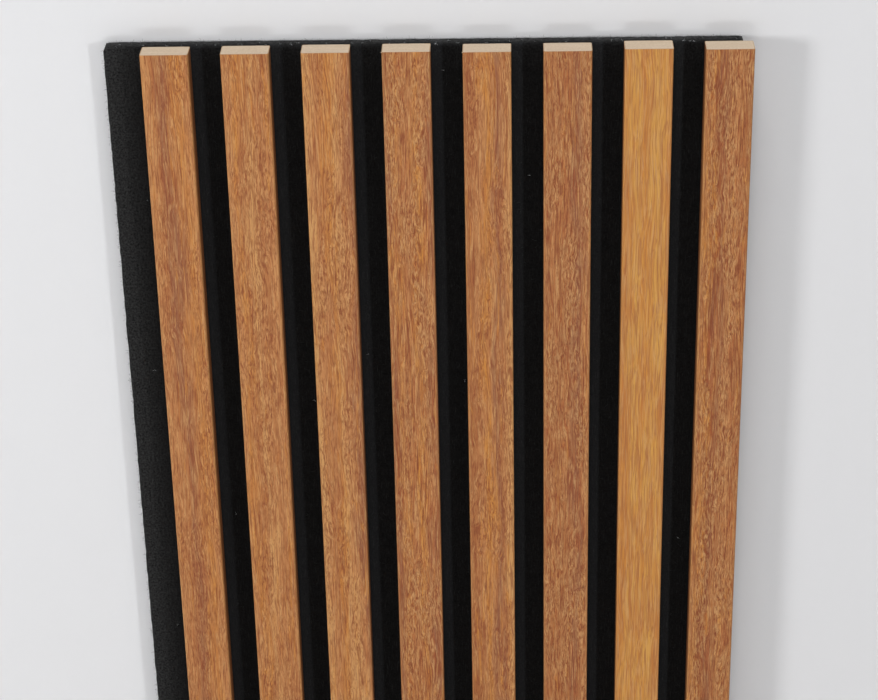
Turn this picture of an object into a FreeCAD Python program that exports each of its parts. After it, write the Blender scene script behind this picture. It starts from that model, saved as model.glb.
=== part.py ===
import FreeCAD, Part
import enum
import math
import os
import Sketcher

# Acoustic slat wall panel: veneered MDF slats glued and stapled to a board of pressed felt.
# Millimetres. X runs across the slats, Y into the wall and Z up along the slats.
# The origin is the centre of the felt's back face, which lies on the wall.

SIZES = (
    ("slat_count", "8", "slats side by side"),
    ("slat_pitch", "40", "left edge of one slat to the left edge of the next"),
    ("slat_width", "24", "across a finished slat"),
    ("slat_depth", "12", "felt to the front of a slat"),
    ("slat_overhang", "4", "last slat past the felt, over the next panel's felt"),
    ("end_stagger", "0.6", "most that a slat's end stands past the felt's"),
    ("panel_length", "600", "felt and slats"),
    ("felt_thickness", "9", "pressed felt board"),
    ("felt_corner", "2", "radius of the board's four corners"),
    ("felt_edge_round", "1.2", "crushed front edge of the sawn board"),
    ("veneer_thickness", "0.4", "veneer with its glue fleece"),
    ("veneer_lap", "3", "veneer folded onto the back of a slat"),
    ("front_round", "1", "radius of a slat's front edges, over the veneer"),
    ("back_round", "0.9", "radius of a slat's back edges, over the veneer"),
    ("staple_rows", "4", "staples along each slat"),
    ("staple_margin", "30", "end of the felt to the first row of staples"),
    ("staple_crown", "10", "outside length of a staple's crown"),
    ("staple_leg", "16", "crown's outer face to the tip of a leg"),
    ("staple_point", "1.2", "length of the slant at a leg's tip"),
    ("staple_bend", "0.9", "outer radius between crown and leg"),
    ("wire_width", "1", "flat wire, along the crown's face"),
    ("wire_thickness", "0.7", "flat wire, in the plane of the staple"),
)

# How far each slat was set above the felt's end, as shares of end_stagger.
END_SHARES = (0.0, 0.2, 0.5, 0.6, -0.2, -0.2, 1.0, 0.0)

COUNT = "round(Sizes.slat_count)"
ROWS = "round(Sizes.staple_rows)"
FELT_WIDTH = f"{COUNT} * Sizes.slat_pitch"
FELT_EDGE = f"{FELT_WIDTH} / 2"
# The gap between two panels equals the gap between two slats, so the felt reaches further on the left
# by one gap and one overhang.
FIRST_SLAT = f"Sizes.slat_pitch + Sizes.slat_overhang - Sizes.slat_width / 2 - {FELT_EDGE}"
BOTTOM = "-Sizes.panel_length / 2"


class At(enum.IntEnum):
    """How a constraint names a sketch's own axes and the two ends of a line or arc."""

    LEVEL_AXIS = -1
    UPRIGHT_AXIS = -2
    START = 1
    END = 2


def make_sheet(doc):
    """The driving dimensions, each written once."""
    sheet = doc.addObject("Spreadsheet::Sheet", "Sizes")
    for row, (alias, value, meaning) in enumerate(SIZES, start=1):
        sheet.set(f"A{row}", alias.replace("_", " "))
        sheet.set(f"B{row}", value)
        sheet.set(f"C{row}", meaning)
        sheet.setAlias(f"B{row}", alias)
    doc.recompute()
    return sheet


def origin_feature(body, role):
    """One of the body's own planes or axes."""
    return next(item for item in body.Origin.OriginFeatures if item.Role == role)


def make_body(doc, name, x, y, z):
    """A body whose lower end, middle and back stand at the place that three expressions give."""
    body = doc.addObject("PartDesign::Body", name)
    body.Label = name
    for axis, expression in (("x", x), ("y", y), ("z", z)):
        body.setExpression(f"Placement.Base.{axis}", expression)
    return body


def make_sketch(body, name, role):
    sketch = body.newObject("Sketcher::SketchObject", f"{body.Name}_{name}")
    sketch.AttachmentSupport = [(origin_feature(body, role), "")]
    sketch.MapMode = "FlatFace"
    return sketch


def feature(body, kind, name, profile, length):
    """A pad or pocket of the profile, with its length from the sheet."""
    made = body.newObject(f"PartDesign::{kind}", f"{body.Name}_{name}")
    made.Profile = profile
    made.setExpression("Length", length)
    return made


def fix_coordinate(sketch, axis, line, point, expression):
    """Holds one end of a line at a coordinate measured from the sketch's origin."""
    if expression == "0":
        through = At.UPRIGHT_AXIS if axis == "X" else At.LEVEL_AXIS
        sketch.addConstraint(Sketcher.Constraint("PointOnObject", line, point, through))
        return
    value = sketch.evalExpression(expression)
    index = sketch.addConstraint(Sketcher.Constraint(f"Distance{axis}", line, point, value))
    name = f"{axis.lower()}_{line}_{point}"
    sketch.renameConstraint(index, name)
    sketch.setExpression(f"Constraints.{name}", expression)


def round_corner(sketch, corner, arriving, leaving, radius):
    """Adds the arc of a square corner, and returns it with its first and last end as the outline runs."""
    first = corner - arriving * radius
    last = corner + leaving * radius
    centre = first + leaving * radius
    angles = [math.atan2(end.y - centre.y, end.x - centre.x) for end in (first, last)]
    turns_left = arriving.cross(leaving).z > 0
    ends = (At.START, At.END)
    if not turns_left:
        angles.reverse()
        ends = (At.END, At.START)
    circle = Part.Circle(centre, FreeCAD.Vector(0, 0, 1), radius)
    arc = sketch.addGeometry(Part.ArcOfCircle(circle, *angles), False)
    return arc, ends


def draw_outline(sketch, corners):
    """Closes straight lines through the corners, with an arc where a corner has a radius.

    A corner is (x, y) or (x, y, radius), each one an expression. Level and upright lines stay so, and
    every line and arc is held by the expressions, so that the outline follows the sheet.
    """
    count = len(corners)
    points = [FreeCAD.Vector(*(sketch.evalExpression(text) for text in corner[:2])) for corner in corners]
    radii = [sketch.evalExpression(corner[2]) if len(corner) == 3 else 0 for corner in corners]
    runs = [(points[(k + 1) % count] - points[k]).normalize() for k in range(count)]
    level = [math.isclose(run.y, 0, abs_tol=1e-9) for run in runs]
    upright = [math.isclose(run.x, 0, abs_tol=1e-9) for run in runs]

    lines = []
    for k, run in enumerate(runs):
        after = (k + 1) % count
        start = points[k] + run * radii[k]
        end = points[after] - run * radii[after]
        lines.append(sketch.addGeometry(Part.LineSegment(start, end), False))
        if level[k]:
            sketch.addConstraint(Sketcher.Constraint("Horizontal", lines[k]))
            fix_coordinate(sketch, "Y", lines[k], At.START, corners[k][1])
        elif upright[k]:
            sketch.addConstraint(Sketcher.Constraint("Vertical", lines[k]))
            fix_coordinate(sketch, "X", lines[k], At.START, corners[k][0])

    for k, corner in enumerate(corners):
        before, after = lines[k - 1], lines[k]
        if len(corner) == 3:
            arc, (first, last) = round_corner(sketch, points[k], runs[k - 1], runs[k], radii[k])
            sketch.addConstraint(Sketcher.Constraint("Tangent", before, At.END, arc, first))
            sketch.addConstraint(Sketcher.Constraint("Tangent", arc, last, after, At.START))
            index = sketch.addConstraint(Sketcher.Constraint("Radius", arc, radii[k]))
            sketch.renameConstraint(index, f"radius_{k}")
            sketch.setExpression(f"Constraints.radius_{k}", corner[2])
        else:
            sketch.addConstraint(Sketcher.Constraint("Coincident", before, At.END, after, At.START))
            if not (upright[k - 1] or upright[k]):
                fix_coordinate(sketch, "X", after, At.START, corner[0])
            if not (level[k - 1] or level[k]):
                fix_coordinate(sketch, "Y", after, At.START, corner[1])


def mirrored(corners):
    """The corners of a right half, followed by the same corners on the left in the opposite order."""
    return corners + [(f"-({corner[0]})", *corner[1:]) for corner in reversed(corners)]


def staple_sketch(body, name, across, back, lift):
    """A staple seen from the side: its crown upright in the plane y = back, its legs towards -Y.

    The plane of the sketch stands at x = across, and lift is taken off the height of the first row.
    """
    middle = f"Sizes.staple_margin - {lift}"
    top = f"{middle} + Sizes.staple_crown / 2"
    low = f"{middle} - Sizes.staple_crown / 2"
    tip = f"{back} - Sizes.staple_leg"
    inside = f"{back} - Sizes.wire_thickness"
    sketch = make_sketch(body, name, "YZ_Plane")
    sketch.setExpression("AttachmentOffset.Base.z", across)
    draw_outline(sketch, [
        (back, low, "Sizes.staple_bend"),
        (back, top, "Sizes.staple_bend"),
        (tip, top),
        (f"{tip} + Sizes.staple_point", f"{top} - Sizes.wire_thickness"),
        (inside, f"{top} - Sizes.wire_thickness"),
        (inside, f"{low} + Sizes.wire_thickness"),
        (f"{tip} + Sizes.staple_point", f"{low} + Sizes.wire_thickness"),
        (tip, low),
    ])
    return sketch


def repeat(body, name, original, columns="1"):
    """Repeats a feature up the rows of staples and, where asked, across the slats."""
    pattern = body.newObject("PartDesign::LinearPattern", f"{body.Name}_{name}")
    pattern.Originals = [original]
    pattern.Direction = (origin_feature(body, "Z_Axis"), [""])
    pattern.setExpression("Length", "Sizes.panel_length - 2 * Sizes.staple_margin")
    pattern.setExpression("Occurrences", ROWS)
    if columns != "1":
        pattern.Direction2 = (origin_feature(body, "X_Axis"), [""])
        pattern.setExpression("Length2", f"({columns} - 1) * Sizes.slat_pitch")
        pattern.setExpression("Occurrences2", columns)
    body.Tip = pattern
    return pattern


def front_face(solid):
    """The name of the face that lies furthest towards -Y."""
    faces = solid.Shape.Faces
    nearest = min(range(len(faces)), key=lambda k: faces[k].CenterOfMass.y)
    return f"Face{nearest + 1}"


def make_felt(doc):
    """The board: sawn square at the back, crushed round at the front, pierced by the staples."""
    body = make_body(doc, "felt_backing", "0", "0", BOTTOM)
    outline = make_sketch(body, "outline", "XZ_Plane")
    draw_outline(outline, [
        (f"-{FELT_EDGE}", "0", "Sizes.felt_corner"),
        (FELT_EDGE, "0", "Sizes.felt_corner"),
        (FELT_EDGE, "Sizes.panel_length", "Sizes.felt_corner"),
        (f"-{FELT_EDGE}", "Sizes.panel_length", "Sizes.felt_corner"),
    ])
    board = feature(body, "Pad", "board", outline, "Sizes.felt_thickness")
    doc.recompute()

    edge = body.newObject("PartDesign::Fillet", "felt_front_edge")
    edge.Base = (board, [front_face(board)])
    edge.setExpression("Radius", "Sizes.felt_edge_round")

    staple = staple_sketch(body, "staple", FIRST_SLAT, "0", "0")
    slot = feature(body, "Pocket", "slot", staple, "Sizes.wire_width")
    slot.SideType = "Symmetric"
    repeat(body, "slots", slot, COUNT)
    return body


def make_core(doc, number, lift):
    """The MDF bar of a slat, relieved at its back edges for the veneer's laps and pierced by the staples."""
    body = make_body(doc, f"slat_core_{number}", slat_middle(number), "-Sizes.felt_thickness",
                     f"{BOTTOM} + {lift}")
    side = "Sizes.slat_width / 2 - Sizes.veneer_thickness"
    front = "Sizes.veneer_thickness - Sizes.slat_depth"
    lap_end = "Sizes.slat_width / 2 - Sizes.veneer_lap"
    profile = make_sketch(body, "profile", "XY_Plane")
    draw_outline(profile, mirrored([
        (side, front, "Sizes.front_round - Sizes.veneer_thickness"),
        (side, "-Sizes.veneer_thickness", "Sizes.back_round - Sizes.veneer_thickness"),
        (lap_end, "-Sizes.veneer_thickness"),
        (lap_end, "0"),
    ]))
    feature(body, "Pad", "bar", profile, "Sizes.panel_length")

    staple = staple_sketch(body, "staple", "0", "Sizes.felt_thickness", lift)
    slot = feature(body, "Pocket", "slot", staple, "Sizes.wire_width")
    slot.SideType = "Symmetric"
    repeat(body, "slots", slot)
    return body


def make_veneer(doc, number, lift):
    """One strip of veneer wrapped round the front and sides of a slat and folded onto its back."""
    body = make_body(doc, f"slat_veneer_{number}", slat_middle(number), "-Sizes.felt_thickness",
                     f"{BOTTOM} + {lift}")
    side = "Sizes.slat_width / 2"
    lap_end = "Sizes.slat_width / 2 - Sizes.veneer_lap"
    strip = "Sizes.veneer_thickness"
    profile = make_sketch(body, "profile", "XY_Plane")
    draw_outline(profile, mirrored([
        (side, "-Sizes.slat_depth", "Sizes.front_round"),
        (side, "0", "Sizes.back_round"),
        (lap_end, "0"),
        (lap_end, f"-{strip}"),
        (f"{side} - {strip}", f"-{strip}", f"Sizes.back_round - {strip}"),
        (f"{side} - {strip}", f"{strip} - Sizes.slat_depth", f"Sizes.front_round - {strip}"),
    ]))
    feature(body, "Pad", "wrap", profile, "Sizes.panel_length")
    return body


def slat_middle(number):
    return f"{FIRST_SLAT} + {number - 1} * Sizes.slat_pitch"


def make_staples(doc):
    """Every staple, driven from the back until its crown is flush with the felt."""
    body = make_body(doc, "back_staples", "0", "0", BOTTOM)
    outline = staple_sketch(body, "outline", FIRST_SLAT, "0", "0")
    staple = feature(body, "Pad", "staple", outline, "Sizes.wire_width")
    staple.SideType = "Symmetric"
    repeat(body, "rows", staple, COUNT)
    return body


def check(doc, bodies):
    """Stops the run if any object failed, a sketch is loose or a piece is not sound solids."""
    for item in doc.Objects:
        if "Invalid" in item.State or "Error" in item.State:
            raise RuntimeError(f"{item.Name} failed: {item.State}")
        if item.TypeId == "Sketcher::SketchObject" and not item.FullyConstrained:
            raise RuntimeError(f"{item.Name} is not fully constrained")
    for body, solids in bodies:
        shape = body.Shape
        if shape.isNull() or not shape.isValid():
            raise RuntimeError(f"{body.Label} has no valid shape")
        if len(shape.Solids) != solids:
            raise RuntimeError(f"{body.Label} has {len(shape.Solids)} solids, not {solids}")


def check_slots(doc, sheet):
    """Every slot took its staple's share out of the felt and the cores."""
    staples = doc.getObject("back_staples").Shape.Volume
    pad = doc.getObject("felt_front_edge").Shape.Volume
    cut = pad - doc.getObject("felt_backing").Shape.Volume
    for number in range(1, round(sheet.slat_count) + 1):
        bar = doc.getObject(f"slat_core_{number}_bar").Shape.Volume
        cut += bar - doc.getObject(f"slat_core_{number}").Shape.Volume
    if abs(cut - staples) > 1e-3 * staples:
        raise RuntimeError(f"slots hold {cut:.1f} cubic mm, staples {staples:.1f}")


doc = FreeCAD.newDocument("acoustic_slat_panel")
sheet = make_sheet(doc)
slats = range(1, round(sheet.slat_count) + 1)

bodies = [(make_felt(doc), 1)]
for number in slats:
    share = END_SHARES[(number - 1) % len(END_SHARES)]
    lift = f"{share} * Sizes.end_stagger"
    bodies.append((make_core(doc, number, lift), 1))
    bodies.append((make_veneer(doc, number, lift), 1))
bodies.append((make_staples(doc), len(slats) * round(sheet.staple_rows)))

doc.recompute()
check(doc, bodies)
check_slots(doc, sheet)

os.makedirs("parts", exist_ok=True)
for body, solids in bodies:
    body.Shape.exportStep(f"parts/{body.Label}.step")
    box = body.Shape.BoundBox
    print(f"{body.Label}: {solids} solids, {body.Shape.Volume:.1f} cubic mm, "
          f"x {box.XMin:.2f}..{box.XMax:.2f}, y {box.YMin:.2f}..{box.YMax:.2f}, z {box.ZMin:.2f}..{box.ZMax:.2f}")
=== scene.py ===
import math
import random

import bmesh
import bpy
from mathutils import Matrix, Vector, noise


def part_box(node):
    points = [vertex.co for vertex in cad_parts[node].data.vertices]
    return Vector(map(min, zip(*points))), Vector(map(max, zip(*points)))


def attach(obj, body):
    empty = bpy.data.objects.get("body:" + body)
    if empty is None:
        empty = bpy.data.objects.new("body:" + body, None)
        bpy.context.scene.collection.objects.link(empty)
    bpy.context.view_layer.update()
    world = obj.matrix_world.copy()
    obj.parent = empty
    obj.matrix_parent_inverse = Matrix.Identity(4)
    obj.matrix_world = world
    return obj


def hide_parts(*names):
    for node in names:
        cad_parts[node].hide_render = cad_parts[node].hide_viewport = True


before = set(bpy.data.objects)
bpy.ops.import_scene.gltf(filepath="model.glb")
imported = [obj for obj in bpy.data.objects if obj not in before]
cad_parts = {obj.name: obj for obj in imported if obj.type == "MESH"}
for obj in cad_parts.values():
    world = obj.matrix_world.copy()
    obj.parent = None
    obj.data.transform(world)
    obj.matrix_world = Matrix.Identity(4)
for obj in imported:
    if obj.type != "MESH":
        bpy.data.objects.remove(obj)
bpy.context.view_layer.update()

# Felt backing: one board of black polyester needle felt, pressed flat with heat and cut to size
# with a knife, which leaves its rim soft and a little wavy. The staples that hold the slats pull
# small dimples into its back.
MM = 0.001
FELT_GRID = 2.5 * MM
FELT_RIM_ROUND = 1.1 * MM
FELT_CORNER = 2.6 * MM
FELT_UNEVEN = 0.12 * MM
FELT_CUT_WAVE = 0.32 * MM
FELT_RIM_REACH = 3.0 * MM
STAPLE_ROWS = [z * MM for z in (-270.0, -90.0, 90.0, 270.0)]
STAPLE_CROWN = 10.0 * MM
DIMPLE_REACH = 4.5 * MM
DIMPLE_DEPTH = 0.5 * MM
RUBBED_FROM = 2.0 * MM
RUBBED_TO = 5.5 * MM
TOP_DUST_REACH = 16.0 * MM
# the painted light strip in each gap: its width beside the slat, and its fade
LIT_STRIP_WIDTH = 5.8 * MM
LIT_STRIP_FADE = 0.5 * MM
SLAT_COUNT = 8


def linear(hex_colour):
    """Turns an sRGB hex colour to the linear one that a shader socket takes."""
    shares = [int(hex_colour[i:i + 2], 16) / 255 for i in (1, 3, 5)]
    return [c / 12.92 if c <= 0.04045 else ((c + 0.055) / 1.055) ** 2.4 for c in shares] + [1.0]


def add_node(tree, kind, inputs=None, stops=(), **settings):
    """Adds a shader node with its settings, inputs and a ramp's stops. An input is given by name,
    or by number where names repeat, as a value, a socket, or a node for that node's own output."""
    node = tree.nodes.new("ShaderNode" + kind)
    for name, value in settings.items():
        setattr(node, name, value)
    for key, value in (inputs or {}).items():
        named = [s for s in node.inputs if s.enabled and s.name == key]
        socket = named[0] if named else node.inputs[key]
        if isinstance(value, bpy.types.Node):
            value = next(s for s in value.outputs if s.enabled)
        if isinstance(value, bpy.types.NodeSocket):
            tree.links.new(value, socket)
        else:
            socket.default_value = value
    for number, (place, colour) in enumerate(stops):
        elements = node.color_ramp.elements
        stop = elements[number] if number < 2 else elements.new(place)
        stop.position = place
        stop.color = colour
    return node


def start_material(name):
    """A material with an empty node tree, and the object's own coordinates in millimetres."""
    material = bpy.data.materials.new(name)
    material.use_nodes = True
    tree = material.node_tree
    tree.nodes.clear()
    metres = add_node(tree, "TexCoord").outputs["Object"]
    place = add_node(tree, "VectorMath", {"Vector": metres, "Scale": 1 / MM}, operation="SCALE")
    return material, tree, place


def needle_felt():
    """Needle-punched polyester: a matt black mat. It shows soft blotches a few millimetres wide
    where the fibres lie denser, a fine woolly grain, and single paler hairs in every direction."""
    material, tree, place = start_material("needle_punched_polyester_felt")
    blotch = add_node(tree, "TexNoise", {
        "Vector": place, "Scale": 1 / 4.5, "Detail": 3.0, "Roughness": 0.6})
    wool = add_node(tree, "TexNoise", {
        "Vector": place, "Scale": 1 / 1.1, "Detail": 3.0, "Roughness": 0.7})
    shade = add_node(tree, "MapRange", {"Value": blotch, "From Min": 0.36, "From Max": 0.64})
    colour = add_node(tree, "Mix", {
        "Factor": shade, "A": linear("#0F0F0F"), "B": linear("#161616")}, data_type="RGBA")
    shade = add_node(tree, "MapRange", {"Value": wool, "From Min": 0.42, "From Max": 0.68})
    colour = add_node(tree, "Mix", {
        "Factor": shade, "A": colour, "B": linear("#1D1D1D")}, data_type="RGBA")
    # the hairs are 0.03 mm thick, and are drawn 0.4 mm wide so that they show at all
    for turn in (0.4, 1.3, 2.3):
        turned = add_node(tree, "Mapping", {
            "Vector": place, "Rotation": (0.0, turn, 0.0), "Scale": (1 / 0.4, 1 / 0.4, 1 / 5.0)})
        hair = add_node(tree, "TexNoise", {
            "Vector": turned, "Scale": 1.0, "Detail": 1.0, "Distortion": 0.4})
        shade = add_node(tree, "MapRange", {
            "Value": hair, "From Min": 0.64, "From Max": 0.74, "To Max": 0.5})
        colour = add_node(tree, "Mix", {
            "Factor": shade, "A": colour, "B": linear("#2E2E2E")}, data_type="RGBA")
    # painted light: the open margin is painted paler towards its outer edge, where the first slat
    # shades it less
    # the knife has rubbed the rim's rear half grey, and the top end is dusty
    metres = add_node(tree, "SeparateXYZ", {"Vector": add_node(tree, "TexCoord").outputs["Object"]})
    patchy = add_node(tree, "MapRange", {"Value": wool, "From Min": 0.35, "From Max": 0.65})
    for axis, low, high, share in (
            ("X", felt_margin, felt_low.x, 0.45),
            ("Y", felt_low.y + RUBBED_FROM, felt_low.y + RUBBED_TO, 0.9),
            ("Z", felt_high.z - TOP_DUST_REACH, felt_high.z, 0.12)):
        wear_and_painted_light = add_node(tree, "MapRange", {
            "Value": metres.outputs[axis], "From Min": low, "From Max": high, "To Max": share})
        wear_and_painted_light = add_node(tree, "Math", {0: wear_and_painted_light, 1: patchy}, operation="MULTIPLY")
        colour = add_node(tree, "Mix", {
            "Factor": wear_and_painted_light, "A": colour, "B": linear("#4C4C4C")}, data_type="RGBA")
    # painted light: a paler strip along each slat's right side stands for the light from the right
    # that reaches the felt in each gap; whole pitches are added so that the distance past a slat is
    # never below zero
    past = add_node(tree, "Math", {
        0: metres.outputs["X"], 1: 5 * slat_pitch - slat_side}, operation="ADD")
    past = add_node(tree, "Math", {0: past, 1: slat_pitch}, operation="MODULO")
    painted_lit_strip = add_node(tree, "MapRange", {
        "Value": past, "From Min": LIT_STRIP_WIDTH + LIT_STRIP_FADE, "From Max": LIT_STRIP_WIDTH - LIT_STRIP_FADE,
        "To Max": 0.09})
    inside = add_node(tree, "Math", {
        0: metres.outputs["X"], 1: felt_margin}, operation="GREATER_THAN")
    painted_lit_strip = add_node(tree, "Math", {0: painted_lit_strip, 1: inside}, operation="MULTIPLY")
    colour = add_node(tree, "Mix", {
        "Factor": painted_lit_strip, "A": colour, "B": linear("#4A4D52")}, data_type="RGBA")
    height = add_node(tree, "Math", {0: wool, 1: 0.5, 2: blotch}, operation="MULTIPLY_ADD")
    bump = add_node(tree, "Bump", {"Strength": 0.8, "Distance": 0.4 * MM, "Height": height})
    shader = add_node(tree, "BsdfPrincipled", {
        "Base Color": colour, "Roughness": 0.95, "Specular IOR Level": 0.04, "Normal": bump})
    add_node(tree, "OutputMaterial", {"Surface": shader})
    return material


def mesh_object(name, bm, material):
    """Turns a finished bmesh to an object at the origin, with its material."""
    mesh = bpy.data.meshes.new(name)
    bm.to_mesh(mesh)
    bm.free()
    piece = bpy.data.objects.new(name, mesh)
    bpy.context.scene.collection.objects.link(piece)
    mesh.materials.append(material)
    return piece


felt_low, felt_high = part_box("felt_backing")
felt_size = felt_high - felt_low
felt_mid = (felt_low + felt_high) / 2
felt_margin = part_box("slat_veneer_1")[0].x
slat_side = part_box("slat_veneer_1")[1].x
slat_middles = [
    sum(corner.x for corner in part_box(f"slat_core_{number}")) / 2
    for number in range(1, SLAT_COUNT + 1)]
slat_pitch = slat_middles[1] - slat_middles[0]
felt_look = needle_felt()

bm = bmesh.new()
columns = round(felt_size.x / FELT_GRID)
rows = round(felt_size.z / FELT_GRID)
bmesh.ops.create_grid(bm, x_segments=columns, y_segments=rows, size=0.5)
bmesh.ops.scale(bm, verts=bm.verts, vec=(felt_size.x, felt_size.z, 1.0))
bmesh.ops.rotate(bm, verts=bm.verts, matrix=Matrix.Rotation(math.pi / 2, 3, "X"))
bmesh.ops.translate(bm, verts=bm.verts, vec=(felt_mid.x, felt_low.y, felt_mid.z))
skin = bmesh.ops.extrude_face_region(bm, geom=bm.faces[:])
moved = [v for v in skin["geom"] if isinstance(v, bmesh.types.BMVert)]
bmesh.ops.translate(bm, verts=moved, vec=(0.0, felt_size.y, 0.0))
bmesh.ops.recalc_face_normals(bm, faces=bm.faces)
walls = [f for f in bm.faces if abs(f.normal.y) < 0.5]
rim = {e for f in walls for e in f.edges if abs(sum(g.normal.y for g in e.link_faces)) > 0.5}
bmesh.ops.bevel(bm, geom=list(rim), offset=FELT_RIM_ROUND, offset_type="OFFSET", affect="EDGES",
                segments=3, profile=0.5, material=-1)


def corner_pull(x, z):
    """How far a point at these distances past the corner's centre is drawn in to its rounding."""
    far = math.hypot(x, z)
    if x <= 0 or z <= 0 or far <= FELT_CORNER:
        return 0.0, 0.0
    return x * (FELT_CORNER / far - 1), z * (FELT_CORNER / far - 1)


for v in bm.verts:
    spot = v.co / MM
    side_x = math.copysign(1, v.co.x - felt_mid.x)
    side_z = math.copysign(1, v.co.z - felt_mid.z)
    inset_x = felt_size.x / 2 - abs(v.co.x - felt_mid.x)
    inset_z = felt_size.z / 2 - abs(v.co.z - felt_mid.z)
    pull_x, pull_z = corner_pull(FELT_CORNER - inset_x, FELT_CORNER - inset_z)
    near_rim = max(0.0, 1 - min(inset_x, inset_z) / FELT_RIM_REACH)
    wave = noise.noise(Vector((spot.x * 0.31, spot.y * 0.2, spot.z * 0.31)))
    wave += 0.5 * noise.noise(Vector((spot.x * 0.9, spot.y * 0.6, spot.z * 0.9)))
    cut = FELT_CUT_WAVE * near_rim * (wave - 0.75)
    lump = noise.fractal(Vector((spot.x * 0.2, 0.7, spot.z * 0.2)), 0.6, 2.2, 3)
    if inset_x < inset_z:
        pull_x += cut
    else:
        pull_z += cut
    sink = FELT_UNEVEN * (0.5 * lump + 1.0)
    if v.co.y > felt_mid.y:
        aside = min(abs(v.co.x - x) for x in slat_middles)
        beyond = max(0.0, min(abs(v.co.z - z) for z in STAPLE_ROWS) - STAPLE_CROWN / 2)
        sink = -sink - DIMPLE_DEPTH * math.exp(-(aside ** 2 + beyond ** 2) / DIMPLE_REACH ** 2)
    v.co += Vector((side_x * pull_x, sink, side_z * pull_z))
felt_board = mesh_object("felt_board", bm, felt_look)
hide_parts("felt_backing")
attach(felt_board, "root")


# Felt fuzz and lint: single polyester fibres that the needles and the knife have pulled out of
# the felt, most along the cut rim, some lying on the open face, and a few pale specks of cotton
# lint. The fibres are 0.03 mm thick, and are made three times as thick so that they show.
FIBRE_LENGTH = 2.2 * MM
FIBRE_THICK = 0.09 * MM
FIBRE_SPACING = 0.3 * MM
FIBRE_ROOT = 0.35 * MM
FACE_FIBRES = 1500
FACE_MARGIN = 1.5 * MM
OFF_SLAT_MIDDLE = 12.6 * MM
LINT_LENGTH = 1.1 * MM
LINT_THICK = 0.12 * MM
LINT_ROOT = 0.3 * MM
LINT_CLUMPS = 70


def strand(length, thick, bend, steps=3):
    """One closed three-sided strand from the origin up, which bends a little at every step."""
    bm = bmesh.new()
    bmesh.ops.create_circle(bm, cap_ends=True, segments=3, radius=thick / 2)
    bm.faces.ensure_lookup_table()
    tip = bm.faces[0]
    for step in range(steps):
        grown = bmesh.ops.extrude_face_region(bm, geom=[tip])
        tip = next(part for part in grown["geom"] if isinstance(part, bmesh.types.BMFace))
        way = Vector((chance.uniform(-bend, bend), chance.uniform(-bend, bend), 1.0))
        bmesh.ops.translate(bm, verts=tip.verts, vec=way * length / steps)
    bmesh.ops.recalc_face_normals(bm, faces=bm.faces)
    mesh = bpy.data.meshes.new("strand")
    bm.to_mesh(mesh)
    bm.free()
    return mesh


def pointed(spot, way, size):
    """The place of a strand that stands on a spot, points a way and has a size."""
    turn = way.to_track_quat("Z", "Y").to_matrix().to_4x4()
    return Matrix.Translation(spot) @ turn @ Matrix.Scale(size, 4)


def scatter(name, shapes, places, material):
    """Copies the shapes in turn to all the places, as one piece that rides on the panel."""
    bm = bmesh.new()
    for number, place in enumerate(places):
        shape = shapes[number % len(shapes)]
        shape.transform(place)
        bm.from_mesh(shape)
        shape.transform(place.inverted())
    piece = mesh_object(name, bm, material)
    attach(piece, "root")


def loose_fibre(name, dark, light):
    """Loose fibre: matt and soft, each strand a little paler or darker than the next."""
    material, tree, place = start_material(name)
    tone = add_node(tree, "TexNoise", {"Vector": place, "Scale": 1 / 1.5, "Detail": 1.0})
    shade = add_node(tree, "MapRange", {"Value": tone, "From Min": 0.35, "From Max": 0.65})
    colour = add_node(tree, "Mix", {
        "Factor": shade, "A": linear(dark), "B": linear(light)}, data_type="RGBA")
    shader = add_node(tree, "BsdfPrincipled", {
        "Base Color": colour, "Roughness": 0.8, "Specular IOR Level": 0.2})
    add_node(tree, "OutputMaterial", {"Surface": shader})
    return material


def on_open_felt():
    """A spot on the felt's front that no slat covers."""
    while True:
        x = chance.uniform(felt_low.x + FACE_MARGIN, felt_high.x - FACE_MARGIN)
        if min(abs(x - middle) for middle in slat_middles) > OFF_SLAT_MIDDLE:
            z = chance.uniform(felt_low.z, felt_high.z) * 0.995
            return Vector((x, felt_low.y + FELT_UNEVEN, z))


chance = random.Random(5)
strands = [strand(FIBRE_LENGTH, FIBRE_THICK, 0.5) for kind in range(8)]
places = []
for outward, start, run in (
        (Vector((0, 0, 1)), Vector((felt_low.x, 0, felt_high.z)), Vector((felt_size.x, 0, 0))),
        (Vector((0, 0, -1)), Vector((felt_low.x, 0, felt_low.z)), Vector((felt_size.x, 0, 0))),
        (Vector((-1, 0, 0)), Vector((felt_low.x, 0, felt_low.z)), Vector((0, 0, felt_size.z))),
        (Vector((1, 0, 0)), Vector((felt_high.x, 0, felt_low.z)), Vector((0, 0, felt_size.z)))):
    for number in range(round(run.length / FIBRE_SPACING)):
        spot = start + run * chance.uniform(0.005, 0.995) - outward * FIBRE_ROOT
        spot.y = chance.uniform(felt_low.y + 0.5 * MM, felt_high.y - 0.8 * MM)
        lean = run.normalized() * chance.uniform(-1.4, 1.4)
        lift = Vector((0, chance.uniform(-0.8, 0.3), 0))
        places.append(pointed(spot, outward + lean + lift, chance.triangular(0.22, 1.1, 0.3)))
for number in range(FACE_FIBRES):
    turn = chance.uniform(0, math.tau)
    way = Vector((math.cos(turn), -0.12, math.sin(turn)))
    places.append(pointed(on_open_felt(), way, chance.uniform(0.5, 1.2)))
scatter("felt_fuzz", strands, places, loose_fibre("pulled_polyester_fibres", "#141515", "#3C3E3E"))

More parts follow.
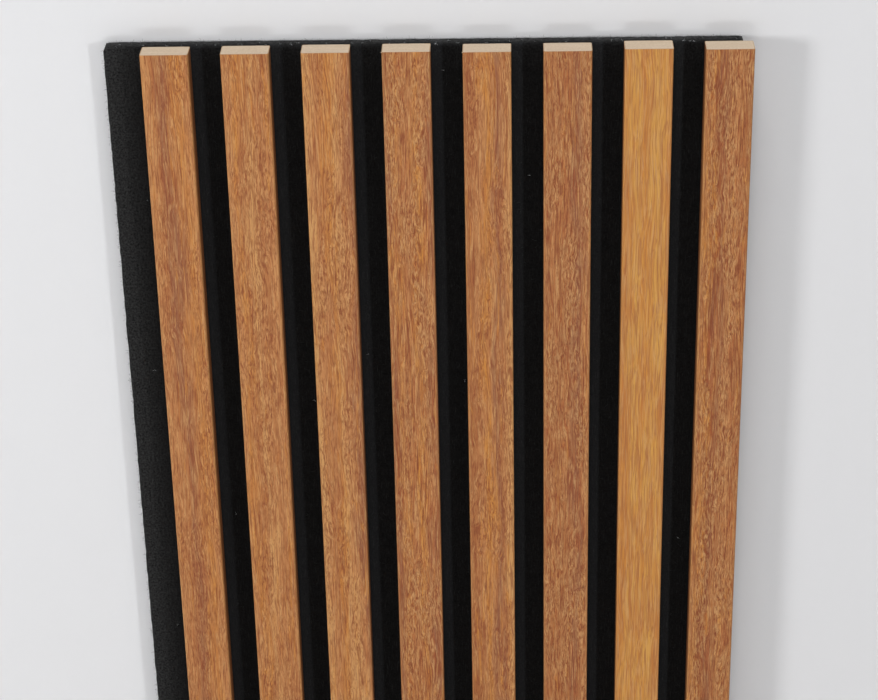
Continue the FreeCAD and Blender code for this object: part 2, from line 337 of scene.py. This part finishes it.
lint = [strand(LINT_LENGTH, LINT_THICK, 0.9) for kind in range(5)]
places = []
for number in range(LINT_CLUMPS):
    spot = on_open_felt()
    # four clumps in five lie on the top edge instead, most of them near its front
    if number % 5:
        along = chance.uniform(felt_low.x, felt_high.x) * 0.98
        depth = chance.triangular(-8.8, -1, -8.4) * MM
        spot = Vector((along, depth, felt_high.z - LINT_ROOT))
    for hair in range(4):
        way = Vector((chance.uniform(-1, 1), -0.25, chance.uniform(-0.3, 1)))
        places.append(pointed(spot, way, chance.uniform(0.4, 1.0)))
scatter("lint_specks", lint, places, loose_fibre("stray_cotton_lint", "#858889", "#C2C5C7"))


# Slat cores: eight strips ripped from 12 mm medium density fibreboard. The saw leaves their ends
# a pale biscuit brown, with short fibre flecks and faint lines.
def sawn_fibreboard():
    """Raw sawn MDF: pale, flat and dusty, with flecks of pressed fibre and faint saw lines."""
    material, tree, place = start_material("sawn_fibreboard")
    pressed = add_node(tree, "Mapping", {"Vector": place, "Scale": (1 / 1.4, 1 / 0.5, 1 / 0.8)})
    flecks = add_node(tree, "TexNoise", {
        "Vector": pressed, "Scale": 1.0, "Detail": 3.0, "Roughness": 0.7})
    specks = add_node(tree, "TexNoise", {"Vector": place, "Scale": 1 / 0.35, "Detail": 1.0})
    sawn = add_node(tree, "Mapping", {
        "Vector": place, "Rotation": (0.0, 0.0, 0.12), "Scale": (1 / 14.0, 1 / 0.35, 1 / 14.0)})
    lines = add_node(tree, "TexNoise", {"Vector": sawn, "Scale": 1.0, "Detail": 1.0})
    shade = add_node(tree, "MapRange", {"Value": flecks, "From Min": 0.35, "From Max": 0.65})
    colour = add_node(tree, "Mix", {
        "Factor": shade, "A": linear("#CCB59B"), "B": linear("#DBC6AD")}, data_type="RGBA")
    shade = add_node(tree, "MapRange", {
        "Value": specks, "From Min": 0.64, "From Max": 0.78, "To Max": 0.7})
    colour = add_node(tree, "Mix", {
        "Factor": shade, "A": colour, "B": linear("#B09678")}, data_type="RGBA")
    shade = add_node(tree, "MapRange", {
        "Value": lines, "From Min": 0.55, "From Max": 0.7, "To Max": 0.25})
    colour = add_node(tree, "Mix", {
        "Factor": shade, "A": colour, "B": linear("#EFE4D2")}, data_type="RGBA")
    bump = add_node(tree, "Bump", {"Strength": 0.4, "Distance": 0.1 * MM, "Height": flecks})
    shader = add_node(tree, "BsdfPrincipled", {
        "Base Color": colour, "Roughness": 0.9, "Specular IOR Level": 0.2, "Normal": bump})
    add_node(tree, "OutputMaterial", {"Surface": shader})
    return material


def dress(node, material):
    """Gives a carried CAD piece its material."""
    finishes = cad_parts[node].data.materials
    finishes.clear()
    finishes.append(material)


fibreboard = sawn_fibreboard()
for number in range(1, SLAT_COUNT + 1):
    dress(f"slat_core_{number}", fibreboard)


# Slat veneers: one sheet of sliced hardwood veneer folded round the front and both sides of each
# core, under a matt lacquer. Every slat is another leaf, so each has its own bands of tan, gold,
# russet and mauve from left to right, and its own zones of curled, interlocked figure.
WOOD = {
    "tan": linear("#BE8350"),
    # straw also paints the highlight on the slats' front edges
    "straw": linear("#CD985E"),
    "wheat": linear("#CFA069"),
    "gold": linear("#C48342"),
    "amber": linear("#C5823A"),
    "honey": linear("#D0994A"),
    "clay": linear("#B37646"),
    "ruddy": linear("#AC6235"),
    "russet": linear("#A4673B"),
    "brick": linear("#824021"),
    "mauve": linear("#935F42"),
    # pore also paints the shade on the slats' sides
    "pore": linear("#643619"),
    "bare": linear("#B0906C"),
}
# each kind of fibre: its width and its length in millimetres, its colour, the level of the noise
# at which it is strongest, how far from that level it reaches, and its largest share
PLAIN_FIBRES = (
    (1.6, 80.0, "amber", 0.7, 0.13, 0.9),
    (1.1, 45.0, "ruddy", 0.67, 0.2, 0.45),
    (0.6, 20.0, "wheat", 0.34, 0.18, 0.65),
    (0.6, 14.0, "brick", 0.68, 0.19, 0.8),
    (1.5, 14.0, "brick", 0.5, 0.045, 0.45),
    (0.65, 3.5, "brick", 0.68, 0.2, 0.85),
)
CURLY_FIBRES = (
    (1.6, 80.0, "amber", 0.7, 0.15, 0.9),
    (1.2, 40.0, "ruddy", 0.66, 0.2, 0.85),
    (0.6, 16.0, "wheat", 0.34, 0.19, 0.7),
    (0.65, 16.0, "brick", 0.66, 0.2, 1.0),
    (1.4, 9.0, "brick", 0.5, 0.045, 0.5),
    (0.65, 3.5, "brick", 0.67, 0.2, 1.0),
    (0.5, 5.0, "wheat", 0.34, 0.19, 0.7),
)
STRAIGHT_FIBRES = (
    (2.2, 60.0, "amber", 0.68, 0.17, 0.9),
    (1.8, 50.0, "ruddy", 0.65, 0.18, 0.5),
    (0.7, 24.0, "russet", 0.67, 0.2, 0.85),
    (0.6, 20.0, "wheat", 0.34, 0.18, 0.6),
    (1.8, 40.0, "russet", 0.5, 0.045, 0.5),
)
# fibres shorter than this are flecks
FLECK_LENGTH = 8.0
# each wave of the grain: its width and its length, and how far it carries the fibres
SLOW_WAVE = (14.0, 60.0, 5.0)
STRAIGHT_GRAIN = (5.0, 20.0, 1.0)
WAVY_GRAIN = (5.0, 12.0, 2.6)
CURLED_GRAIN = (3.5, 8.0, 2.4)
# each slat's leaf: its bands of colour from left to right, its wave in the curled zones, its
# fibres, and how dark its pores are
LEAVES = (
    ("tan clay mauve clay gold tan", WAVY_GRAIN, PLAIN_FIBRES, 0.4),
    ("tan gold clay straw tan clay tan", WAVY_GRAIN, PLAIN_FIBRES, 0.4),
    ("straw tan clay gold straw tan mauve", WAVY_GRAIN, PLAIN_FIBRES, 0.35),
    ("mauve gold clay tan amber tan mauve", CURLED_GRAIN, CURLY_FIBRES, 0.35),
    ("russet clay tan amber tan mauve clay straw", WAVY_GRAIN, PLAIN_FIBRES, 0.35),
    ("russet clay russet clay mauve mauve tan", CURLED_GRAIN, CURLY_FIBRES, 0.5),
    ("amber honey honey amber honey honey gold", STRAIGHT_GRAIN, STRAIGHT_FIBRES, 0.12),
    ("clay amber brick mauve clay tan clay russet", WAVY_GRAIN, CURLY_FIBRES, 0.45),
)
# the painted highlight on the front edges, the painted shade on the sides, and the bare end, in
# millimetres from the veneer's own edges
EDGE_HIGHLIGHT_FROM = 1.6
EDGE_HIGHLIGHT_TO = 0.2
SIDE_SHADE_FROM = 0.8
SIDE_SHADE_TO = 5.0
CUT_END = 0.08


def lacquered_veneer(number, bands, curl, fibres, pores):
    """Sliced hardwood under matt lacquer: soft lengthwise bands of colour, long wavy streaks,
    short curled flecks where the grain interlocks, dark pores, and a low even gloss."""
    low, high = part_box(f"slat_veneer_{number}")
    material, tree, whole = start_material(f"lacquered_hardwood_veneer_{number}")
    place = add_node(tree, "VectorMath", {
        0: whole, 1: (41.0 * number, 17.0 * number, 823.0 * number)}, operation="ADD")
    # the grain wanders in slow waves, and in some zones it interlocks and curls in quick ones
    waved = [place]
    for wide, tall, shift in (SLOW_WAVE, curl):
        wave = add_node(tree, "Mapping", {
            "Vector": waved[-1], "Scale": (1 / wide, 1 / wide, 1 / tall)})
        wave = add_node(tree, "TexNoise", {"Vector": wave, "Scale": 1.0, "Detail": 1.0})
        waved.append(add_node(tree, "VectorMath", {
            0: wave.outputs["Color"], 1: (shift, shift, 0.0), 2: waved[-1]},
            operation="MULTIPLY_ADD"))
    zone = add_node(tree, "Mapping", {"Vector": place, "Scale": (1 / 9.0, 1 / 9.0, 1 / 55.0)})
    zone = add_node(tree, "TexNoise", {"Vector": zone, "Scale": 1.0, "Detail": 2.0})
    zone = add_node(tree, "MapRange", {"Value": zone, "From Min": 0.42, "From Max": 0.58})
    place = add_node(tree, "Mix", {
        "Factor": zone, "A": waved[1], "B": waved[2]}, data_type="VECTOR")
    # bands of colour across the slat, which drift a little
    across = add_node(tree, "SeparateXYZ", {"Vector": whole}).outputs["X"]
    share = add_node(tree, "MapRange", {
        "Value": across, "From Min": low.x / MM, "From Max": high.x / MM}, clamp=False)
    drift = add_node(tree, "Mapping", {"Vector": place, "Scale": (1 / 7.0, 1 / 7.0, 1 / 70.0)})
    drift = add_node(tree, "TexNoise", {
        "Vector": drift, "Scale": 1.0, "Detail": 3.0, "Roughness": 0.6})
    share = add_node(tree, "Math", {0: drift, 1: 0.8, 2: share}, operation="MULTIPLY_ADD")
    share = add_node(tree, "Math", {0: share, 1: 0.4}, operation="SUBTRACT")
    names = bands.split()
    colour = add_node(tree, "ValToRGB", {0: share}, stops=[
        ((order + 0.5) / len(names), WOOD[name]) for order, name in enumerate(names)])
    # darker and paler fibre: a level of the noise far from the middle gives streaks and flecks,
    # the middle one gives fine wavy lines, and the short flecks show in the curled zones only
    for wide, tall, tone, level, reach, most in fibres:
        fibre = add_node(tree, "Mapping", {
            "Vector": place, "Location": (tall, level, wide),
            "Scale": (1 / wide, 1 / wide, 1 / tall)})
        fibre = add_node(tree, "TexNoise", {
            "Vector": fibre, "Scale": 1.0, "Detail": 2.0, "Roughness": 0.6})
        shade = add_node(tree, "Math", {0: fibre, 1: level}, operation="SUBTRACT")
        shade = add_node(tree, "Math", {0: shade}, operation="ABSOLUTE")
        shade = add_node(tree, "MapRange", {
            "Value": shade, "From Min": reach, "From Max": 0.0, "To Max": most})
        if tall < FLECK_LENGTH:
            shade = add_node(tree, "Math", {0: shade, 1: zone}, operation="MULTIPLY")
        colour = add_node(tree, "Mix", {
            "Factor": shade, "A": colour, "B": WOOD[tone]}, data_type="RGBA")
    # the pores are 0.1 mm wide, and are drawn 0.4 mm wide so that they show
    pore = add_node(tree, "Mapping", {"Vector": place, "Scale": (1 / 0.4, 1 / 0.4, 1 / 2.5)})
    pore = add_node(tree, "TexNoise", {"Vector": pore, "Scale": 1.0, "Detail": 1.0})
    pore = add_node(tree, "MapRange", {"Value": pore, "From Min": 0.6, "From Max": 0.74})
    shade = add_node(tree, "Math", {0: pore, 1: pores}, operation="MULTIPLY")
    colour = add_node(tree, "Mix", {
        "Factor": shade, "A": colour, "B": WOOD["pore"]}, data_type="RGBA")
    # painted highlight: the two front edges are painted a little paler, for the light that their
    # rounding catches
    away = add_node(tree, "Math", {0: across, 1: (low.x + high.x) / 2 / MM}, operation="SUBTRACT")
    away = add_node(tree, "Math", {0: away}, operation="ABSOLUTE")
    half = (high.x - low.x) / 2 / MM
    painted_edge_highlight = add_node(tree, "MapRange", {
        "Value": away, "From Min": half - EDGE_HIGHLIGHT_FROM, "From Max": half - EDGE_HIGHLIGHT_TO,
        "To Max": 0.25})
    colour = add_node(tree, "Mix", {
        "Factor": painted_edge_highlight, "A": colour, "B": WOOD["straw"]}, data_type="RGBA")
    # painted shade: the sides are painted darker from just behind the front face, and the veneer's
    # cut end is bare
    parts = add_node(tree, "SeparateXYZ", {"Vector": whole})
    painted_side_shade = add_node(tree, "MapRange", {
        "Value": parts.outputs["Y"], "From Min": low.y / MM + SIDE_SHADE_FROM,
        "From Max": low.y / MM + SIDE_SHADE_TO, "To Max": 0.8})
    colour = add_node(tree, "Mix", {
        "Factor": painted_side_shade, "A": colour, "B": WOOD["pore"]}, data_type="RGBA")
    cut = add_node(tree, "Math", {
        0: parts.outputs["Z"], 1: high.z / MM - CUT_END}, operation="GREATER_THAN")
    colour = add_node(tree, "Mix", {
        "Factor": cut, "A": colour, "B": WOOD["bare"]}, data_type="RGBA")
    height = add_node(tree, "Math", {0: fibre, 1: pore}, operation="SUBTRACT")
    bump = add_node(tree, "Bump", {"Strength": 0.3, "Distance": 0.06 * MM, "Height": height})
    gloss = add_node(tree, "MapRange", {
        "Value": fibre, "From Min": 0.3, "From Max": 0.7, "To Min": 0.5, "To Max": 0.62})
    shader = add_node(tree, "BsdfPrincipled", {
        "Base Color": colour, "Roughness": gloss, "Specular IOR Level": 0.25, "Normal": bump})
    add_node(tree, "OutputMaterial", {"Surface": shader})
    return material


for number, (bands, curl, fibres, pores) in enumerate(LEAVES, start=1):
    dress(f"slat_veneer_{number}", lacquered_veneer(number, bands, curl, fibres, pores))


# Veneer splinters: where the saw left the end of the fourth and the fifth slat, a bare splinter
# of veneer still stands out from the left corner.
SPLINTER_LENGTH = 1.3 * MM
SPLINTER_THICK = 0.42 * MM
SPLINTER_BEHIND_FACE = 0.3 * MM
SPLINTER_BELOW_END = 0.15 * MM
SPLINTERED_SLATS = (4, 5)


def bare_veneer():
    """Torn, unlacquered veneer: pale and matt, with fine lengthwise fibre."""
    material, tree, place = start_material("torn_bare_veneer")
    fibre = add_node(tree, "Mapping", {"Vector": place, "Scale": (1 / 0.6, 1 / 0.15, 1 / 0.15)})
    fibre = add_node(tree, "TexNoise", {"Vector": fibre, "Scale": 1.0, "Detail": 2.0})
    shade = add_node(tree, "MapRange", {"Value": fibre, "From Min": 0.35, "From Max": 0.65})
    colour = add_node(tree, "Mix", {
        "Factor": shade, "A": linear("#BFA27E"), "B": linear("#E6D6BE")}, data_type="RGBA")
    shader = add_node(tree, "BsdfPrincipled", {
        "Base Color": colour, "Roughness": 0.85, "Specular IOR Level": 0.2})
    add_node(tree, "OutputMaterial", {"Surface": shader})
    return material


torn = bare_veneer()
for number in SPLINTERED_SLATS:
    low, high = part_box(f"slat_veneer_{number}")
    bm = bmesh.new()
    bmesh.ops.create_cone(bm, cap_ends=True, segments=5, radius1=SPLINTER_THICK / 2,
                          radius2=SPLINTER_THICK / 8, depth=SPLINTER_LENGTH)
    splinter = mesh_object(f"veneer_splinter_{number}", bm, torn)
    corner = Vector((low.x, low.y + SPLINTER_BEHIND_FACE, high.z - SPLINTER_BELOW_END))
    splinter.data.transform(pointed(corner, Vector((-1.0, -0.2, 0.25)), 1.0))
    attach(splinter, "root")


# Staples: flat galvanised wire, pressed through the felt into the cores from the back. They hold
# each slat while the glue under it sets.
def galvanised_wire():
    """Galvanised steel wire: dull grey zinc with a mottled, slightly brushed surface."""
    material, tree, place = start_material("galvanised_wire")
    spangle = add_node(tree, "TexNoise", {"Vector": place, "Scale": 1 / 0.9, "Detail": 2.0})
    shade = add_node(tree, "MapRange", {"Value": spangle, "From Min": 0.35, "From Max": 0.65})
    colour = add_node(tree, "Mix", {
        "Factor": shade, "A": linear("#9EA0A2"), "B": linear("#C6C8C9")}, data_type="RGBA")
    bump = add_node(tree, "Bump", {"Strength": 0.3, "Distance": 0.05 * MM, "Height": spangle})
    gloss = add_node(tree, "MapRange", {
        "Value": spangle, "From Min": 0.3, "From Max": 0.7, "To Min": 0.35, "To Max": 0.5})
    shader = add_node(tree, "BsdfPrincipled", {
        "Base Color": colour, "Metallic": 1.0, "Roughness": gloss, "Normal": bump})
    add_node(tree, "OutputMaterial", {"Surface": shader})
    return material


dress("back_staples", galvanised_wire())


# The room: a pale painted wall just behind the panel and a pale floor under it, both matt
# emulsion. The wall shows from the front only, so that the panel's back can be seen.
WALL_GAP = 0.4 * MM
WALL_WIDE = 1.3
WALL_TALL = 1.1
FLOOR_WIDE = 9.0
PALE_ROOM = linear("#E4E4E4")
# where the floor starts and ends to fade, in millimetres from the panel
FLOOR_FADE_FROM = 450.0
FLOOR_FADE_TO = 2300.0
ground = min(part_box(f"slat_veneer_{number}")[0].z for number in range(1, SLAT_COUNT + 1))


def seen_rays(tree):
    """1 for the rays that show the background to the eye, straight or in a reflection."""
    rays = add_node(tree, "LightPath")
    seen = add_node(tree, "Math", {
        0: rays.outputs["Is Camera Ray"], 1: rays.outputs["Is Glossy Ray"]}, operation="MAXIMUM")
    return add_node(tree, "Math", {
        0: seen, 1: rays.outputs["Is Transmission Ray"]}, operation="MAXIMUM")


def matt_paint(name, hex_colour, one_sided=False, fading=False):
    """Flat emulsion paint, with a barely seen roller grain. A wide floor fades to the pale room
    away from the panel, and keeps its shadow near it."""
    material, tree, place = start_material(name)
    roller = add_node(tree, "TexNoise", {"Vector": place, "Scale": 1 / 2.5, "Detail": 2.0})
    shade = add_node(tree, "MapRange", {
        "Value": roller, "From Min": 0.3, "From Max": 0.7, "To Max": 0.012})
    colour = add_node(tree, "Mix", {
        "Factor": shade, "A": linear(hex_colour), "B": linear("#C8C8C8")}, data_type="RGBA")
    shader = add_node(tree, "BsdfPrincipled", {
        "Base Color": colour, "Roughness": 0.9, "Specular IOR Level": 0.1})
    if one_sided:
        rear = add_node(tree, "NewGeometry").outputs["Backfacing"]
        clear = add_node(tree, "BsdfTransparent")
        shader = add_node(tree, "MixShader", {0: rear, 1: shader, 2: clear})
    if fading:
        away = add_node(tree, "VectorMath", {0: place}, operation="LENGTH").outputs["Value"]
        away = add_node(tree, "MapRange", {
            "Value": away, "From Min": FLOOR_FADE_FROM, "From Max": FLOOR_FADE_TO})
        faded = add_node(tree, "Math", {0: away, 1: seen_rays(tree)}, operation="MULTIPLY")
        pale = add_node(tree, "Emission", {"Color": PALE_ROOM, "Strength": 1.0})
        shader = add_node(tree, "MixShader", {0: faded, 1: shader, 2: pale})
    add_node(tree, "OutputMaterial", {"Surface": shader})
    return material


bm = bmesh.new()
bmesh.ops.create_grid(bm, x_segments=1, y_segments=1, size=0.5)
bmesh.ops.scale(bm, verts=bm.verts, vec=(WALL_WIDE, WALL_TALL, 1.0))
bmesh.ops.rotate(bm, verts=bm.verts, matrix=Matrix.Rotation(math.pi / 2, 3, "X"))
bmesh.ops.translate(bm, verts=bm.verts, vec=(0.0, WALL_GAP, ground + WALL_TALL / 2))
wall = mesh_object("painted_wall", bm, matt_paint("matt_wall_paint", "#E6E6E8", one_sided=True))
wall.visible_shadow = False
wall.visible_diffuse = False
wall.visible_glossy = False

bm = bmesh.new()
bmesh.ops.create_grid(bm, x_segments=1, y_segments=1, size=FLOOR_WIDE / 2)
bmesh.ops.translate(bm, verts=bm.verts, vec=(0.0, 0.0, ground))
floor = mesh_object("painted_floor", bm, matt_paint("matt_floor_paint", "#DCDCDB", fading=True))


# The light: a soft lamp in front and above, a low weak one, one on each side that draw the soft
# shadows beside the panel and in the gaps, one behind for the back, and the pale room.
def soft_lamp(name, watts, size, place, aim):
    """A soft box that faces the aim."""
    lamp = bpy.data.lights.new(name, "AREA")
    lamp.energy = watts
    lamp.shape = "RECTANGLE"
    lamp.size = size[0]
    lamp.size_y = size[1]
    box = bpy.data.objects.new(name, lamp)
    box.location = place
    box.rotation_euler = (Vector(aim) - Vector(place)).to_track_quat("-Z", "Y").to_euler()
    box.visible_camera = False
    bpy.context.scene.collection.objects.link(box)


AIM = (0.0, 0.0, 0.12)
ROOM_LIGHT = 0.17
soft_lamp("key_lamp", 14.9, (0.5, 0.5), (0.0, -0.45, 1.8), AIM)
soft_lamp("low_lamp", 3.1, (0.6, 0.15), (0.0, -1.6, -0.2), AIM)
soft_lamp("right_lamp", 19.5, (0.2, 0.2), (2.05, -2.19, 0.4), AIM)
soft_lamp("left_lamp", 16.0, (0.35, 0.35), (-1.56, -1.18, 0.5), AIM)
soft_lamp("rear_lamp", 16.0, (1.2, 1.2), (0.3, 2.2, 1.2), AIM)

world = bpy.data.worlds.new("pale_room")
bpy.context.scene.world = world
world.use_nodes = True
sky = world.node_tree
sky.nodes.clear()
dim = add_node(sky, "Background", {"Color": PALE_ROOM, "Strength": ROOM_LIGHT})
pale = add_node(sky, "Background", {"Color": PALE_ROOM, "Strength": 1.0})
both = add_node(sky, "MixShader", {0: seen_rays(sky), 1: dim, 2: pale})
add_node(sky, "OutputWorld", {"Surface": both})


# The camera stands in front of the panel, a little to its right, and looks down on its top end.
# Its lens and its place are fitted to the slats' edges in the photograph.
PHOTO_LENS = 102.97
EYE = Vector((41.80, -1189.57, 732.91)) * MM
TARGET = Vector((5.28, -21.0, 135.21)) * MM
ROLL = math.radians(-1.236)
camera_data = bpy.data.cameras.new("camera")
camera_data.lens = PHOTO_LENS
camera_data.sensor_width = 36.0
camera_data.clip_start = 0.05
camera_data.clip_end = 30.0
camera = bpy.data.objects.new("camera", camera_data)
bpy.context.scene.collection.objects.link(camera)
facing = (TARGET - EYE).to_track_quat("-Z", "Y").to_matrix().to_4x4()
camera.matrix_world = Matrix.Translation(EYE) @ facing @ Matrix.Rotation(ROLL, 4, "Z")
bpy.context.scene.camera = camera
bpy.context.scene.view_settings.view_transform = "Standard"
